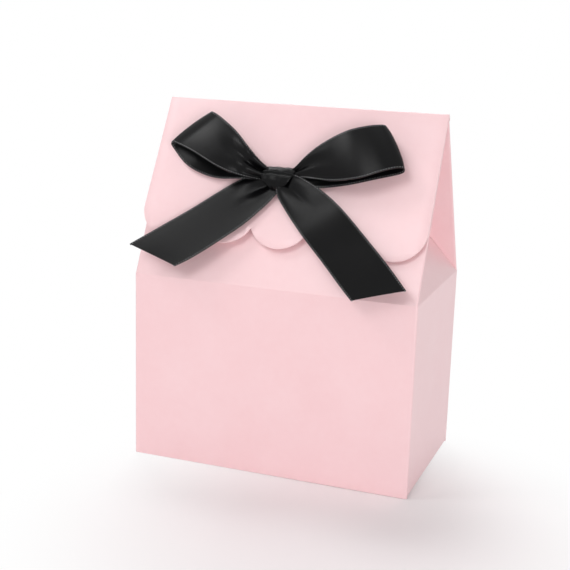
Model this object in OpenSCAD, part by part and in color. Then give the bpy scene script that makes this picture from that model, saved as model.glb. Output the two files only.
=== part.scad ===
// Folded paperboard favour box with a tent top, a scalloped closing flap and a ribbon bow.
//
// Millimetres, +Z up, +X to the right as seen from the front, and the front faces -Y.
// The origin is the middle of the base. Every crease is a hinge line on the inner face of
// the board, except the ridge, whose hinge line is on the outer face so the flap can turn over.

/* [Box] */
// Width across the front
box_w = 102; // [90:1:130]
// Depth from front to back
box_d = 59; // [52:1:66]
// Height of the upright walls
wall_h = 67; // [50:1:90]
// Rise of the roof from the top of the walls to where its slopes meet
roof_rise = 58.6; // [54:0.2:66]
// Thickness of the paperboard
board_t = 0.5; // [0.35:0.05:0.6]
// Gap left between two panels along a crease
fold_gap = 0.2; // [0.15:0.05:0.3]

/* [Gusset] */
// Angle of the diagonal creases from the top of the side wall
crease_angle = 61; // [58:0.5:63]
// Setback of each gusset panel from its diagonal crease
crease_trim = 0.9; // [0.8:0.1:1.5]
// Extra angle cut off each diagonal side of the middle triangle
triangle_relief = 2.5; // [2:0.25:4]
// Setback of the top edges where front and back half gussets meet
meet_trim = 1.5; // [1.3:0.1:2.5]
// Length cut off the inner tip of each half gusset
tip_trim = 4; // [3:0.5:8]

/* [Closing flap] */
// Length of the flap from the ridge to the bottom of its scallops
flap_l = 53.5; // [40:0.5:56]
// Number of scallops
scallops = 5; // [3:1:7]
// Radius of each scallop
scallop_r = 11.1; // [10.4:0.1:13]
// Angle by which the closed flap stands off the front slope
flap_lift = 3.2; // [2.5:0.1:6]
// Length by which the back slope passes over the front one
ridge_lap = 1.5; // [1.3:0.1:3]
// Length by which the front slope stops short of the ridge
front_drop = 8; // [6:0.5:12]

/* [Base] */
// Length of the tuck tab
tuck_l = 12; // [8:1:18]
// Angle by which the tuck tab leans away from the front wall
tuck_lean = 6; // [5:1:10]
// Length of each dust flap from its crease
dust_l = 26; // [16:1:34]
// Clearance at the sides of the bottom panel
base_clearance = 0.4; // [0.3:0.1:1]
// Width of the glued seam tab
seam_w = 10; // [8:1:14]

/* [Ribbon] */
// Width of the ribbon
ribbon_w = 16; // [14:1:18]
// Thickness of the ribbon
ribbon_t = 0.5; // [0.4:0.05:0.8]
// Knot centre, sideways from the middle of the flap
knot_x = -3.8; // [-8:0.2:8]
// Knot centre, down the flap from the ridge
knot_s = 28.2; // [24:0.2:30]
// Width of the knot
knot_w = 9; // [8:0.5:11]
// Height of the knot along the flap
knot_l = 8; // [7:0.5:10]
// Thickness of the knot
knot_t = 6.5; // [6:0.5:8]
// Length of the left loop from the middle of the knot
left_loop_l = 40; // [34:1:42]
// Length of the right loop from the middle of the knot
right_loop_l = 43; // [34:1:44]
// Thickness of the loops from the front strand to the rear strand
loop_t = 8.5; // [7:0.5:10]
// Length of the left tail from the middle of the knot
left_tail_l = 51.5; // [40:0.5:54]
// Length of the right tail from the middle of the knot
right_tail_l = 57; // [40:0.5:58]
// Length of the slots that the ribbon passes through
slot_l = 6.5; // [6:0.5:9]
// Width of the slots
slot_w = 2; // [1.6:0.1:3]
// Distance from the side of the knot to the middle of a slot
slot_offset = 1.7; // [1.5:0.1:3]

/* [Hidden] */

pink = [0.96, 0.81, 0.83];
pink_inside = [0.93, 0.86, 0.86];
black_satin = [0.08, 0.08, 0.09];
arc_steps = 72;
past = 1;

// Inner faces: half the width, half the depth, and the top of the walls.
inner_x = box_w / 2 - board_t;
inner_y = box_d / 2 - board_t;
wall_top = wall_h - fold_gap / 2;

// The two slopes meet over the middle of the base.
roof_lean = atan(inner_y / roof_rise);
roof_l = sqrt(inner_y * inner_y + roof_rise * roof_rise);

// Closed pose of the gusset. The diagonal crease keeps its angle to the side wall and to the
// slope, which fixes how far the middle triangle leans in and how far a half gusset turns
// from the slope.
apex_h = inner_y * tan(crease_angle);
rise_part = (sin(crease_angle) - sin(roof_lean) * cos(crease_angle)) / cos(roof_lean);
inward_part = sqrt(pow(sin(crease_angle), 2) - pow(rise_part, 2));
triangle_lean = atan2(inward_part, rise_part);
half_turn = atan2(
    cos(crease_angle) * cos(roof_lean) - rise_part * sin(roof_lean),
    inward_part
);

// Ridge crease, on the outer face of the back slope.
ridge_y = board_t * cos(roof_lean) - ridge_lap * sin(roof_lean);
ridge_z = wall_h + roof_rise + board_t * sin(roof_lean) + ridge_lap * cos(roof_lean);
flap_lean = roof_lean + flap_lift;
ridge_half_angle = (roof_lean + flap_lean) / 2;
ridge_mitre = board_t / tan(ridge_half_angle);

// Scallops touch both side edges of the flap.
scallop_pitch = (box_w - 2 * scallop_r) / (scallops - 1);
scallop_s = flap_l - scallop_r;

// Base: the bottom panel lies on the floor and the dust flaps lie on it.
dust_z = 2 * board_t + fold_gap;
side_foot = dust_z + fold_gap / 2;
tuck_y = inner_y - board_t - fold_gap;
tuck_side_gap = 1.5;
tuck_corner = 5;
dust_front_gap = 2.5;
dust_taper = 5;
seam_end_gap = 3;

// Ribbon layers above the outer face of the flap.
knot_gap = 0.3;
strand_gap = 0.2;
tail_root_h = 1.3;
tail_rise = 4;
loop_root_h = 2.4;
loop_steps = 40;
slot_x = knot_w / 2 + slot_offset;
root_w = 6;
root_spread = 14;
left_loop_turn = 155.5;
right_loop_turn = 19;
left_tail_turn = 219;
right_tail_turn = -41;
left_fold_skew = 3.5;
right_fold_skew = -1.5;
left_cut = -10.5;
right_cut = 10;

// ---- Placing -------------------------------------------------------------------------

module on_left() mirror([1, 0, 0]) children();

module on_front() mirror([0, 1, 0]) children();

// X along the width, Z up the back slope from its crease, Y outwards.
module on_back_slope() translate([0, inner_y, wall_h]) rotate([roof_lean, 0, 0]) children();

// X along the width, -Y down the closed flap from the ridge, Z out of its outer face.
module on_flap() translate([0, ridge_y, ridge_z]) rotate([90 - flap_lean, 0, 0]) children();

// As on_flap, from the middle of the knot, with X turned to point along a loop or a tail.
module from_knot(turn) on_flap() translate([knot_x, -knot_s, 0]) rotate([0, 0, turn]) children();

// Extrudes a profile drawn in Y and Z along X, centred.
module along_width(w) translate([-w / 2, 0, 0]) rotate([90, 0, 90]) linear_extrude(w) children();

// ---- Walls ---------------------------------------------------------------------------

module front_panel() {
    color(pink) translate([-box_w / 2, -box_d / 2, 0]) cube([box_w, board_t, wall_top]);
}

// Its foot stops above the crease of the bottom panel.
module back_panel() {
    foot = board_t + fold_gap / 2;
    color(pink) translate([-box_w / 2, inner_y, foot]) cube([box_w, board_t, wall_top - foot]);
}

module side_panel() {
    color(pink) translate([inner_x, -inner_y, side_foot])
        cube([board_t, 2 * inner_y, wall_top - side_foot]);
}

// Folded in from the back wall and glued to the inside of the left wall.
module glue_seam_tab() {
    color(pink_inside) translate([-inner_x, inner_y - seam_w, seam_end_gap])
        cube([board_t, seam_w, wall_h - 2 * seam_end_gap]);
}

// ---- Base ----------------------------------------------------------------------------

module bottom_panel() {
    half_w = inner_x - base_clearance;
    front_y = -tuck_y + fold_gap / 2;
    color(pink) translate([-half_w, front_y, 0])
        cube([2 * half_w, inner_y - fold_gap / 2 - front_y, board_t]);
}

// Stands inside the front wall, with its two free corners cut off.
module tuck_tab() {
    half_w = inner_x - tuck_side_gap;
    color(pink_inside) translate([0, -tuck_y, board_t]) rotate([90 - tuck_lean, 0, 0])
        linear_extrude(board_t) polygon([
            [-half_w, fold_gap / 2],
            [half_w, fold_gap / 2],
            [half_w, tuck_l - tuck_corner],
            [half_w - tuck_corner, tuck_l],
            [-half_w + tuck_corner, tuck_l],
            [-half_w, tuck_l - tuck_corner]
        ]);
}

// Its back edge slants at 45 degrees, so that it can swing down with the bottom panel.
module dust_flap() {
    crease_x = inner_x - fold_gap / 2;
    end_x = inner_x - dust_l;
    back_y = inner_y - board_t;
    front_y = -tuck_y + dust_front_gap;
    color(pink_inside) translate([0, 0, dust_z - board_t]) linear_extrude(board_t) polygon([
        [crease_x, front_y],
        [crease_x, back_y],
        [end_x, back_y - dust_l],
        [end_x, front_y + dust_taper]
    ]);
}

// ---- Roof ----------------------------------------------------------------------------

// Its top edge is bevelled to meet the flap at the ridge crease.
module back_roof_panel() {
    top = roof_l + ridge_lap - fold_gap / 2;
    color(pink) on_back_slope() along_width(box_w) polygon([
        [0, fold_gap / 2],
        [board_t, fold_gap / 2],
        [board_t, top],
        [0, top - ridge_mitre]
    ]);
}

module front_roof_panel() {
    color(pink) on_front() on_back_slope() translate([-box_w / 2, 0, fold_gap / 2])
        cube([box_w, board_t, roof_l - front_drop - fold_gap / 2]);
}

// ---- Gussets -------------------------------------------------------------------------

// Middle triangle on the right wall, with its tip cut off level with the half gussets.
module gusset_triangle() {
    half_base = inner_y - crease_trim / sin(crease_angle);
    tip_h = half_base * tan(crease_angle - triangle_relief);
    flat_h = apex_h - tip_trim * tan(crease_angle);
    color(pink) translate([inner_x, 0, wall_h]) rotate([0, -triangle_lean, 0])
        rotate([90, 0, 90]) linear_extrude(board_t) intersection() {
            polygon([[-half_base, 0], [half_base, 0], [0, tip_h]]);
            translate([-half_base, fold_gap / 2]) square([2 * half_base, flat_h - fold_gap / 2]);
        }
}

// A half gusset laid flat: X away from the edge of the slope, Y up that edge.
// slope_l is how far up it reaches.
module half_gusset_outline(slope_l) {
    meet_fall = atan2(roof_l - apex_h, inner_y);
    intersection() {
        difference() {
            polygon([[0, 0], [0, roof_l], [inner_y, apex_h]]);
            rotate(crease_angle) translate([-past, -past])
                square([2 * roof_l, past + crease_trim]);
            translate([0, roof_l]) rotate(-meet_fall) translate([-past, -meet_trim])
                square([2 * inner_y, meet_trim + past]);
        }
        translate([fold_gap, 0]) square([inner_y - tip_trim - fold_gap, slope_l]);
    }
}

// Half gusset on the right edge of the back slope.
module half_gusset(slope_l) {
    color(pink) translate([inner_x, 0, 0]) on_back_slope() rotate([0, 0, half_turn])
        mirror([1, 0, 0]) rotate([90, 0, 0]) linear_extrude(board_t)
            half_gusset_outline(slope_l);
}

module back_half_gusset() half_gusset(roof_l);

module front_half_gusset() on_front() half_gusset(roof_l - front_drop);

// ---- Closing flap --------------------------------------------------------------------

module flap_outline() {
    translate([-box_w / 2, -scallop_s]) square([box_w, scallop_s - fold_gap / 2]);
    for (i = [0 : scallops - 1])
        translate([(i - (scallops - 1) / 2) * scallop_pitch, -scallop_s])
            circle(scallop_r, $fn = arc_steps);
}

module closure_flap() {
    color(pink) on_flap() difference() {
        translate([0, 0, -board_t]) linear_extrude(board_t) difference() {
            flap_outline();
            for (side = [-1, 1])
                translate([knot_x + side * slot_x - slot_w / 2, -knot_s - slot_l / 2])
                    square([slot_w, slot_l]);
        }
        along_width(box_w + 2 * past) polygon([
            [-fold_gap / 2, 0],
            [-fold_gap / 2 - ridge_mitre, -board_t],
            [-fold_gap / 2 - ridge_mitre, -board_t - past],
            [past, -board_t - past],
            [past, 0]
        ]);
    }
}

// ---- Ribbon --------------------------------------------------------------------------

// The wrap of the knot, a rounded bar across the ribbon.
module knot_bar() {
    edge_r = knot_t / 2;
    flat_l = knot_l - knot_t;
    from_knot(0) translate([0, 0, knot_gap + edge_r]) rotate([90, 0, 90])
        linear_extrude(knot_w, center = true) {
            square([flat_l, knot_t], center = true);
            for (side = [-1, 1])
                translate([side * flat_l / 2, 0]) circle(edge_r, $fn = arc_steps);
        }
}

module ribbon_knot() color(black_satin) knot_bar();

// Side view of a loop, a teardrop whose point is at the knot. X along the loop, Y height.
function teardrop(length, height, inset) = [
    for (i = [0 : loop_steps - 1])
        let (turn = 360 * i / loop_steps)
            [
                inset + length * (1 - cos(turn)) / 2,
                height / 2 * sin(turn) * pow(sin(turn / 2), 1.5) * 1.18
            ]
];

// A loop that leaves the knot at the given turn. skew moves the two ends of its outer fold
// along the loop, one forwards and one back.
module ribbon_loop(turn, loop_l, skew) {
    root_x = knot_w / 2 - ribbon_t;
    half_w = ribbon_w / 2;
    mid_h = loop_root_h + loop_t / 2;
    color(black_satin) difference() {
        from_knot(turn) intersection() {
            translate([root_x, 0, mid_h]) rotate([90, 0, 0])
                linear_extrude(2 * ribbon_w, center = true) difference() {
                    polygon(teardrop(loop_l - root_x, loop_t, 0));
                    polygon(teardrop(
                        loop_l - root_x - 5 * ribbon_t, loop_t - 2 * ribbon_t, 4 * ribbon_t
                    ));
                }
            linear_extrude(loop_root_h + 2 * loop_t) polygon([
                [root_x, -root_w / 2],
                [root_x + root_spread, -half_w],
                [loop_l - skew, -half_w],
                [loop_l + skew, half_w],
                [root_x + root_spread, half_w],
                [root_x, root_w / 2]
            ]);
        }
        knot_bar();
    }
}

// A tail that leaves the knot at the given turn and rises from the flap. cut is how much
// further one corner of its end reaches than the other.
module ribbon_tail(turn, tail_l, cut) {
    root_x = knot_w / 2 - 2 * ribbon_t;
    half_w = ribbon_w / 2;
    color(black_satin) difference() {
        from_knot(turn) translate([0, 0, tail_root_h]) rotate([0, -tail_rise, 0])
            linear_extrude(ribbon_t) polygon([
                [root_x, -root_w / 2],
                [root_x + root_spread, -half_w],
                [tail_l - cut / 2, -half_w],
                [tail_l + cut / 2, half_w],
                [root_x + root_spread, half_w],
                [root_x, root_w / 2]
            ]);
        knot_bar();
    }
}

module ribbon_left_loop() ribbon_loop(left_loop_turn, left_loop_l, left_fold_skew);

module ribbon_right_loop() ribbon_loop(right_loop_turn, right_loop_l, right_fold_skew);

module ribbon_left_tail() ribbon_tail(left_tail_turn, left_tail_l, left_cut);

module ribbon_right_tail() ribbon_tail(right_tail_turn, right_tail_l, right_cut);

// The part of the ribbon behind the flap, with its two ends through the slots.
module ribbon_rear_strand() {
    strand_w = slot_l - 2 * fold_gap;
    back_h = -board_t - strand_gap - ribbon_t;
    lip_h = knot_gap + ribbon_t;
    color(black_satin) from_knot(0) rotate([90, 0, 0])
        linear_extrude(strand_w, center = true) {
            translate([-slot_x - ribbon_t / 2, back_h])
                square([2 * slot_x + ribbon_t, ribbon_t]);
            for (side = [-1, 1]) {
                translate([side * slot_x - ribbon_t / 2, back_h])
                    square([ribbon_t, lip_h - back_h]);
                translate([min(side * knot_w / 2, side * slot_x), lip_h - ribbon_t])
                    square([slot_x - knot_w / 2, ribbon_t]);
            }
        }
}

front_panel();
back_panel();
on_left() side_panel();  // left_side_panel
side_panel();  // right_side_panel
glue_seam_tab();
bottom_panel();
tuck_tab();
on_left() dust_flap();  // left_dust_flap
dust_flap();  // right_dust_flap
front_roof_panel();
back_roof_panel();
on_left() gusset_triangle();  // left_gusset_triangle
gusset_triangle();  // right_gusset_triangle
on_left() front_half_gusset();  // left_front_half_gusset
on_left() back_half_gusset();  // left_back_half_gusset
front_half_gusset();  // right_front_half_gusset
back_half_gusset();  // right_back_half_gusset
closure_flap();
ribbon_knot();
ribbon_left_loop();
ribbon_right_loop();
ribbon_left_tail();
ribbon_right_tail();
ribbon_rear_strand();
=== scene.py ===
import math

import bmesh
import bpy
import numpy as np
from mathutils import Matrix, Vector


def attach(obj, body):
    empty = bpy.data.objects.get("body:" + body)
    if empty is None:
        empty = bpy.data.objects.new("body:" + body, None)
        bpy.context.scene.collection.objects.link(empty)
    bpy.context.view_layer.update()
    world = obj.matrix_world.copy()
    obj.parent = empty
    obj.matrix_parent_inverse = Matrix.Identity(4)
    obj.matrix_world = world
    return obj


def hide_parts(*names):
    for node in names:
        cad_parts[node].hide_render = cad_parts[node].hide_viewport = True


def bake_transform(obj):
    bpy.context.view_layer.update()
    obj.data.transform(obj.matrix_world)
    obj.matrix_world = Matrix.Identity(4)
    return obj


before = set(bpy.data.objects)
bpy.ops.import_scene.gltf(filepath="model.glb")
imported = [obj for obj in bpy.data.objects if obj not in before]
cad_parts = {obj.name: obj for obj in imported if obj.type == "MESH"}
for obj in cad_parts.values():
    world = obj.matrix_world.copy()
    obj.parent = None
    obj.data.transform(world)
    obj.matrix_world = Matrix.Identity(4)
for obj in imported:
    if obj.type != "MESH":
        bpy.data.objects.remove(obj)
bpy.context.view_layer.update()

mm = 0.001

# sizes shared by the folded pieces, in mm, as the solids have them

box = {
    "width": 102,
    "depth": 59,
    "wallHeight": 67,
    "roofRise": 58.6,
    "board": 0.5,
    "creaseAngle": 61,  # diagonal creases of the gussets, from the top of the side wall
    "ridgeLap": 1.5,
    "frontDrop": 8,  # the front slope stops this far short of the ridge
    "flapLift": 3.2,  # degrees that the closed flap stands off the front slope
}

board = box["board"]
innerX = box["width"] / 2 - board
innerY = box["depth"] / 2 - board
roofLean = math.atan(innerY / box["roofRise"])
roofLength = math.hypot(innerY, box["roofRise"])
crease = math.radians(box["creaseAngle"])
apexHeight = innerY * math.tan(crease)
risePart = (math.sin(crease) - math.sin(roofLean) * math.cos(crease)) / math.cos(roofLean)
inwardPart = math.sqrt(math.sin(crease) ** 2 - risePart**2)
triangleLean = math.atan2(inwardPart, risePart)
halfTurn = math.atan2(math.cos(crease) * math.cos(roofLean) - risePart * math.sin(roofLean), inwardPart)
flapLean = roofLean + math.radians(box["flapLift"])
ridgeY = board * math.cos(roofLean) - box["ridgeLap"] * math.sin(roofLean)
ridgeZ = (
    box["wallHeight"] + box["roofRise"]
    + board * math.sin(roofLean) + box["ridgeLap"] * math.cos(roofLean)
)

acrossX = Vector((1, 0, 0))
upZ = Vector((0, 0, 1))


# materials


def newMaterial(name):
    material = bpy.data.materials.new(name)
    material.use_nodes = True
    material.node_tree.nodes.clear()
    return material, material.node_tree.nodes, material.node_tree.links


def srgb(red, green, blue):
    # 0 to 255 on the screen, as the linear colour that a shader takes
    def linear(value):
        value = value / 255
        return value / 12.92 if value <= 0.04045 else ((value + 0.055) / 1.055) ** 2.4

    return (linear(red), linear(green), linear(blue), 1)


def addNode(nodes, kind, **settings):
    node = nodes.new(kind)
    for key, value in settings.items():
        if key.startswith("in_"):
            node.inputs[key[3:].replace("_", " ")].default_value = value
        else:
            setattr(node, key, value)
    return node


paper = {
    "mottleSize": 55,  # soft clouds in the pulp, per metre
    "fibreSize": 1500,  # fibres, per metre
    "fibreHeight": 0.00002,
    "fibreStretch": 0.3,  # scale up the box over scale across, so fibres stand upright
    "grainShare": 0.35,
    "roughness": 0.36,
    "specular": 0.85,
    "sheen": 0.1,
    "sheenRoughness": 0.25,
    "face": (srgb(250, 214, 217), srgb(247, 207, 210)),  # pale and deep parts of the clouding
    "inside": (srgb(246, 216, 217), srgb(241, 208, 210)),
    # the cut edge is paler: partly the board's own edge, partly a painted highlight of the edge catching
    # light
    "cutEdgeAndHighlight": (srgb(253, 228, 229), srgb(250, 220, 222)),
}


def makePaper(name, pale, deep):
    # uncoated board: soft clouding, a few longer fibres, and a fine tooth
    material, nodes, links = newMaterial(name)
    place = addNode(nodes, "ShaderNodeTexCoord")
    clouds = addNode(
        nodes, "ShaderNodeTexNoise", in_Scale=paper["mottleSize"], in_Detail=4.0, in_Roughness=0.6,
    )
    grain = addNode(nodes, "ShaderNodeTexNoise", in_Scale=paper["fibreSize"] / 4, in_Detail=3.0)
    stretch = addNode(nodes, "ShaderNodeMapping")
    stretch.inputs["Scale"].default_value = (1, 1, paper["fibreStretch"])
    fibres = addNode(
        nodes, "ShaderNodeTexNoise", in_Scale=paper["fibreSize"], in_Detail=3.0, in_Distortion=0.8
    )
    share = addNode(nodes, "ShaderNodeMath", operation="MULTIPLY_ADD")
    share.inputs[1].default_value = paper["grainShare"]
    tint = addNode(nodes, "ShaderNodeValToRGB")
    tint.color_ramp.elements[0].position = 0.35
    tint.color_ramp.elements[0].color = deep
    tint.color_ramp.elements[1].position = 0.95
    tint.color_ramp.elements[1].color = pale
    tooth = addNode(nodes, "ShaderNodeBump", in_Strength=0.35, in_Distance=paper["fibreHeight"])
    shader = addNode(nodes, "ShaderNodeBsdfPrincipled", in_Roughness=paper["roughness"])
    shader.inputs["Specular IOR Level"].default_value = paper["specular"]
    shader.inputs["Sheen Weight"].default_value = paper["sheen"]
    shader.inputs["Sheen Roughness"].default_value = paper["sheenRoughness"]
    out = addNode(nodes, "ShaderNodeOutputMaterial")
    links.new(place.outputs["Object"], clouds.inputs["Vector"])
    links.new(place.outputs["Object"], grain.inputs["Vector"])
    links.new(place.outputs["Object"], stretch.inputs["Vector"])
    links.new(stretch.outputs["Vector"], fibres.inputs["Vector"])
    links.new(grain.outputs["Fac"], share.inputs[0])
    links.new(clouds.outputs["Fac"], share.inputs[2])
    links.new(share.outputs["Value"], tint.inputs["Fac"])
    links.new(tint.outputs["Color"], shader.inputs["Base Color"])
    links.new(fibres.outputs["Fac"], tooth.inputs["Height"])
    links.new(tooth.outputs["Normal"], shader.inputs["Normal"])
    links.new(shader.outputs["BSDF"], out.inputs["Surface"])
    return material


pinkFace = makePaper("pinkPaperFace", *paper["face"])
pinkInside = makePaper("pinkPaperInside", *paper["inside"])
# cut edges: the board's paler edge together with a painted highlight of light caught along it
pinkEdgeAndHighlight = makePaper("pinkPaperCutEdgeAndHighlight", *paper["cutEdgeAndHighlight"])

satin = {
    "colour": (0.0012, 0.0012, 0.0014, 1),
    "threadColour": (0.003, 0.003, 0.0035, 1),
    "roughness": 0.23,
    "specular": 0.14,
    "anisotropy": 0.85,  # draws the highlights out across the floats
    "floatScale": (9.0, 0.22, 1),  # streaks to each mm across and along the ribbon
    "ribs": 3.2,  # weft ribs to each mm along the ribbon
    "ribShare": 0.12,
    "reliefHeight": 0.00003,
}


def makeSatin(name):
    # a warp-faced satin: long smooth floats with fine ribs across them
    material, nodes, links = newMaterial(name)
    uv = addNode(nodes, "ShaderNodeUVMap", uv_map="weave")
    split = addNode(nodes, "ShaderNodeSeparateXYZ")
    floats = addNode(nodes, "ShaderNodeMapping")
    floats.inputs["Scale"].default_value = satin["floatScale"]
    streaks = addNode(nodes, "ShaderNodeTexNoise", in_Scale=6.0, in_Detail=5.0, in_Roughness=0.62)
    ribs = addNode(nodes, "ShaderNodeMath", operation="SINE")
    ribRate = addNode(nodes, "ShaderNodeMath", operation="MULTIPLY")
    ribRate.inputs[1].default_value = satin["ribs"] * 2 * math.pi
    weave = addNode(nodes, "ShaderNodeMath", operation="MULTIPLY_ADD")
    weave.inputs[1].default_value = satin["ribShare"]
    tint = addNode(nodes, "ShaderNodeValToRGB")
    tint.color_ramp.elements[0].position = 0.3
    tint.color_ramp.elements[0].color = satin["colour"]
    tint.color_ramp.elements[1].position = 0.75
    tint.color_ramp.elements[1].color = satin["threadColour"]
    gloss = addNode(nodes, "ShaderNodeMapRange")
    gloss.inputs["From Min"].default_value = 0.3
    gloss.inputs["From Max"].default_value = 0.7
    gloss.inputs["To Min"].default_value = satin["roughness"] - 0.05
    gloss.inputs["To Max"].default_value = satin["roughness"] + 0.07
    relief = addNode(nodes, "ShaderNodeBump", in_Strength=0.25, in_Distance=satin["reliefHeight"])
    shader = addNode(nodes, "ShaderNodeBsdfPrincipled")
    shader.inputs["Specular IOR Level"].default_value = satin["specular"]
    shader.inputs["Anisotropic"].default_value = satin["anisotropy"]
    grainWay = addNode(nodes, "ShaderNodeTangent", direction_type="UV_MAP", uv_map="weave")
    links.new(grainWay.outputs["Tangent"], shader.inputs["Tangent"])
    out = addNode(nodes, "ShaderNodeOutputMaterial")
    links.new(uv.outputs["UV"], split.inputs["Vector"])
    links.new(uv.outputs["UV"], floats.inputs["Vector"])
    links.new(floats.outputs["Vector"], streaks.inputs["Vector"])
    links.new(split.outputs["Y"], ribRate.inputs[0])
    links.new(ribRate.outputs["Value"], ribs.inputs[0])
    links.new(ribs.outputs["Value"], weave.inputs[0])
    links.new(streaks.outputs["Fac"], weave.inputs[2])
    links.new(streaks.outputs["Fac"], tint.inputs["Fac"])
    links.new(streaks.outputs["Fac"], gloss.inputs["Value"])
    links.new(tint.outputs["Color"], shader.inputs["Base Color"])
    links.new(gloss.outputs["Result"], shader.inputs["Roughness"])
    links.new(weave.outputs["Value"], relief.inputs["Height"])
    links.new(relief.outputs["Normal"], shader.inputs["Normal"])
    links.new(shader.outputs["BSDF"], out.inputs["Surface"])
    return material


thread = {
    # painted sheen: both greys are far lighter than the black thread, standing in for the light its loops
    # catch
    "paintedSheenLow": (0.05, 0.05, 0.053, 1),
    "paintedSheenHigh": (0.19, 0.19, 0.195, 1),
    "sheenSpotSize": 2600,  # per metre
    "roughness": 0.42,
    "specular": 0.6,
    "sheen": 0.3,
}


def makeThread(name):
    # the loops of thread along the woven edges. The black loops are coloured grey in lighter and darker
    # spots: painted sheen for the light that they catch
    material, nodes, links = newMaterial(name)
    place = addNode(nodes, "ShaderNodeTexCoord")
    # spots of painted sheen along the loops
    twist = addNode(nodes, "ShaderNodeTexNoise", in_Scale=thread["sheenSpotSize"], in_Detail=2.0)
    tint = addNode(nodes, "ShaderNodeValToRGB")
    tint.color_ramp.elements[0].color = thread["paintedSheenLow"]
    tint.color_ramp.elements[1].color = thread["paintedSheenHigh"]
    shader = addNode(nodes, "ShaderNodeBsdfPrincipled", in_Roughness=thread["roughness"])
    shader.inputs["Specular IOR Level"].default_value = thread["specular"]
    shader.inputs["Sheen Weight"].default_value = thread["sheen"]
    out = addNode(nodes, "ShaderNodeOutputMaterial")
    links.new(place.outputs["Object"], twist.inputs["Vector"])
    links.new(twist.outputs["Fac"], tint.inputs["Fac"])
    links.new(tint.outputs["Color"], shader.inputs["Base Color"])
    links.new(shader.outputs["BSDF"], out.inputs["Surface"])
    return material


blackSatin = makeSatin("blackSatin")
blackThread = makeThread("blackEdgeThreadPaintedSheen")
print("materials made")


# folding a flat blank


def foldPoint(path, across, along, height):
    # where a point of the flat blank comes to lie; a fold is (place, turn, radius) on the path
    spot = Vector(path["origin"])
    forward = Vector(path["forward"])
    outward = Vector(path["outward"])
    side = Vector(path["side"]) * across
    last = 0.0
    for place, turn, radius in path["folds"]:
        reach = radius * math.tan(turn / 2)
        if along < place - reach:
            break
        spot = spot + forward * (place - last)
        last = place
        part = (along - place + reach) / (2 * reach)
        if part < 1:
            centre = spot - forward * reach - outward * radius
            swung = outward * math.cos(part * turn) + forward * math.sin(part * turn)
            return centre + swung * (radius + height) + side
        forward, outward = (
            forward * math.cos(turn) - outward * math.sin(turn),
            forward * math.sin(turn) + outward * math.cos(turn),
        )
    return spot + forward * (along - last) + outward * height + side


def foldCuts(path, steps=8):
    # lines across the blank that let it bend at its folds
    cuts = []
    for place, turn, radius in path["folds"]:
        reach = radius * math.tan(turn / 2)
        cuts += [place - reach + 2 * reach * i / steps for i in range(steps + 1)]
        cuts += [place - 4 * reach, place + 4 * reach]
    return cuts


def spread(low, high, step):
    count = max(1, round((high - low) / step))
    return [low + (high - low) * i / count for i in range(1, count)]


def cutBlank(blank, direction, places):
    for place in places:
        bmesh.ops.bisect_plane(
            blank, geom=blank.verts[:] + blank.edges[:] + blank.faces[:], dist=1e-6,
            plane_co=direction * place, plane_no=direction,
        )


def bakeModifiers(piece):
    # the modifiers' result becomes the piece's own mesh
    bpy.context.view_layer.update()
    result = bpy.data.meshes.new_from_object(
        piece.evaluated_get(bpy.context.evaluated_depsgraph_get())
    )
    piece.modifiers.clear()
    piece.data = result


sheet = {
    "grid": 4.0,  # spacing of the lines that let a panel bow
    "edgeRound": 0.06,  # rounding of the cut edges
    "bendReach": 0.15,  # a fold between two bodies is shared over at least this far each way
    "smoothUnder": 28,  # degrees; edges sharper than this stay crisp
}


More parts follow.
